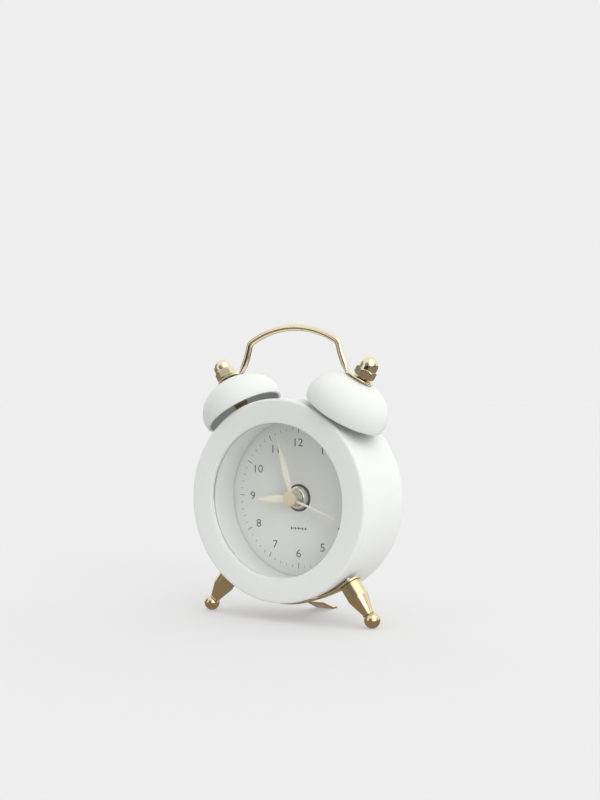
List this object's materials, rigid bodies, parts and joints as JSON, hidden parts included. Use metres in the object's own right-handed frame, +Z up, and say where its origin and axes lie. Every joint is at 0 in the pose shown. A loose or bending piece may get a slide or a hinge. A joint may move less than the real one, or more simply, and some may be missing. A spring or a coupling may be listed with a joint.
{
  "type": "twin-bell alarm clock",
  "caption": "Small round quartz alarm clock with ornamental bells, a carrying handle, splayed turned legs and a rear foot tongue.",
  "frame": {"origin": "floor level, under the middle of the bounding box", "axes": "+Z up, the dial faces -Y, +X to the right of someone looking at the dial"},
  "size_m": [0.0608, 0.0334, 0.0873],
  "materials": {
    "white_paint": "matt powder coat, very fine texture",
    "gold_plate": "bright champagne-gold plating",
    "nickel": "bright nickel plating",
    "steel": "zinc-plated steel",
    "brass": "plain brass",
    "cap_gold": "satin pale gold lacquer",
    "cream_paint": "satin cream lacquer",
    "white_plastic": "moulded white plastic, satin",
    "nylon": "natural moulded gear plastic",
    "black_plastic": "black moulded plastic and epoxy",
    "magnet": "bonded magnet, dark",
    "dial_face": "matt pale grey with fine dark printing",
    "lens_glass": "clear flat lens",
    "board": "brown paper-phenolic laminate",
    "copper_wire": "enamelled copper winding"
  },
  "bodies": {
    "clock_body": {"case_shell": "white_paint", "front_bezel": "white_paint", "bell_left": "white_paint", "bell_right": "white_paint", "handle": "gold_plate", "acorn_nut_left": "gold_plate", "acorn_nut_right": "gold_plate", "leg_left": "gold_plate", "leg_right": "gold_plate", "leg_bracket": "gold_plate", "bell_post_left": "gold_plate", "bell_post_right": "gold_plate", "centre_bush": "nickel", "quartz_crystal": "nickel", "battery_contact_inner": "nickel", "post_nut_left": "steel", "post_nut_right": "steel", "leg_screw_left": "steel", "leg_screw_right": "steel", "cover_screw_1": "steel", "cover_screw_2": "steel", "cover_screw_3": "steel", "stator": "steel", "coil_core": "steel", "button_cell": "steel", "piezo_disc": "brass", "alarm_contact": "brass", "dial_ring": "white_plastic", "back_cover": "white_plastic", "movement_front_plate": "white_plastic", "movement_housing": "white_plastic", "middle_plate": "white_plastic", "clock_chip": "black_plastic", "dial": "dial_face", "lens": "lens_glass", "circuit_board": "board", "coil": "copper_wire"},
    "second_train": {"second_hand": "cream_paint", "hand_cap": "cap_gold", "second_wheel": "nylon"},
    "minute_train": {"minute_hand": "cream_paint", "cannon_pinion": "brass"},
    "hour_train": {"hour_hand": "cream_paint", "hour_wheel": "nylon"},
    "alarm_train": {"alarm_hand": "cream_paint", "alarm_wheel": "nylon"},
    "motion_wheel": {"minute_wheel": "nylon"},
    "centre_gear": {"centre_wheel": "nylon"},
    "third_gear": {"third_wheel": "nylon"},
    "fifth_gear": {"fifth_wheel": "nylon"},
    "rotor_body": {"rotor": "magnet"},
    "time_setter": {"time_set_pinion": "nylon", "time_set_knob": "white_plastic"},
    "alarm_setter": {"alarm_set_pinion": "nylon", "alarm_set_knob": "white_plastic"},
    "door": {"battery_door": "white_plastic"},
    "switch": {"alarm_switch": "black_plastic"}
  },
  "joints": [
    {"name": "second_hand_turn", "type": "hinge", "parent": "clock_body", "child": "second_train", "pos_m": [0, 0.00367, 0.0354], "axis": [0, 1, 0], "continuous": true},
    {"name": "minute_hand_turn", "type": "hinge", "parent": "clock_body", "child": "minute_train", "pos_m": [0, 0.00367, 0.0354], "axis": [0, 1, 0], "continuous": true},
    {"name": "hour_hand_turn", "type": "hinge", "parent": "clock_body", "child": "hour_train", "pos_m": [0, 0.00367, 0.0354], "axis": [0, 1, 0], "continuous": true},
    {"name": "alarm_hand_turn", "type": "hinge", "parent": "clock_body", "child": "alarm_train", "pos_m": [0, 0.00367, 0.0354], "axis": [0, 1, 0], "continuous": true},
    {"name": "motion_wheel_turn", "type": "hinge", "parent": "clock_body", "child": "motion_wheel", "pos_m": [0.0072, 0.00367, 0.0354], "axis": [0, 1, 0], "continuous": true},
    {"name": "time_setter_turn", "type": "hinge", "parent": "clock_body", "child": "time_setter", "pos_m": [0.01344, 0.00367, 0.0318], "axis": [0, 1, 0], "continuous": true},
    {"name": "alarm_setter_turn", "type": "hinge", "parent": "clock_body", "child": "alarm_setter", "pos_m": [-0.0096, 0.00367, 0.0354], "axis": [0, 1, 0], "continuous": true},
    {"name": "third_gear_turn", "type": "hinge", "parent": "clock_body", "child": "third_gear", "pos_m": [0, 0.00367, 0.04288], "axis": [0, 1, 0], "continuous": true},
    {"name": "centre_gear_turn", "type": "hinge", "parent": "clock_body", "child": "centre_gear", "pos_m": [0, 0.00367, 0.0354], "axis": [0, 1, 0], "continuous": true},
    {"name": "fifth_gear_turn", "type": "hinge", "parent": "clock_body", "child": "fifth_gear", "pos_m": [-0.0036, 0.00367, 0.02916], "axis": [0, 1, 0], "continuous": true},
    {"name": "rotor_turn", "type": "hinge", "parent": "clock_body", "child": "rotor_body", "pos_m": [-0.00952, 0.00367, 0.02701], "axis": [0, 1, 0], "continuous": true},
    {"name": "battery_door_turn", "type": "hinge", "parent": "clock_body", "child": "door", "pos_m": [0.0079, 0.00367, 0.0224], "axis": [0, 1, 0], "range_deg": [0, 90]},
    {"name": "alarm_switch_slide", "type": "slide", "parent": "clock_body", "child": "switch", "axis": [1, 0, 0], "range_m": [0, 0.0032]}
  ],
  "couplings": [
    {"joint": "hour_hand_turn", "follows": "minute_hand_turn", "ratio": 0.083333},
    {"joint": "motion_wheel_turn", "follows": "minute_hand_turn", "ratio": -0.33333},
    {"joint": "time_setter_turn", "follows": "minute_hand_turn", "ratio": 1},
    {"joint": "alarm_setter_turn", "follows": "alarm_hand_turn", "ratio": -3},
    {"joint": "third_gear_turn", "follows": "second_hand_turn", "ratio": -0.125},
    {"joint": "centre_gear_turn", "follows": "second_hand_turn", "ratio": 0.016667},
    {"joint": "fifth_gear_turn", "follows": "second_hand_turn", "ratio": -5},
    {"joint": "rotor_turn", "follows": "second_hand_turn", "ratio": 30}
  ]
}
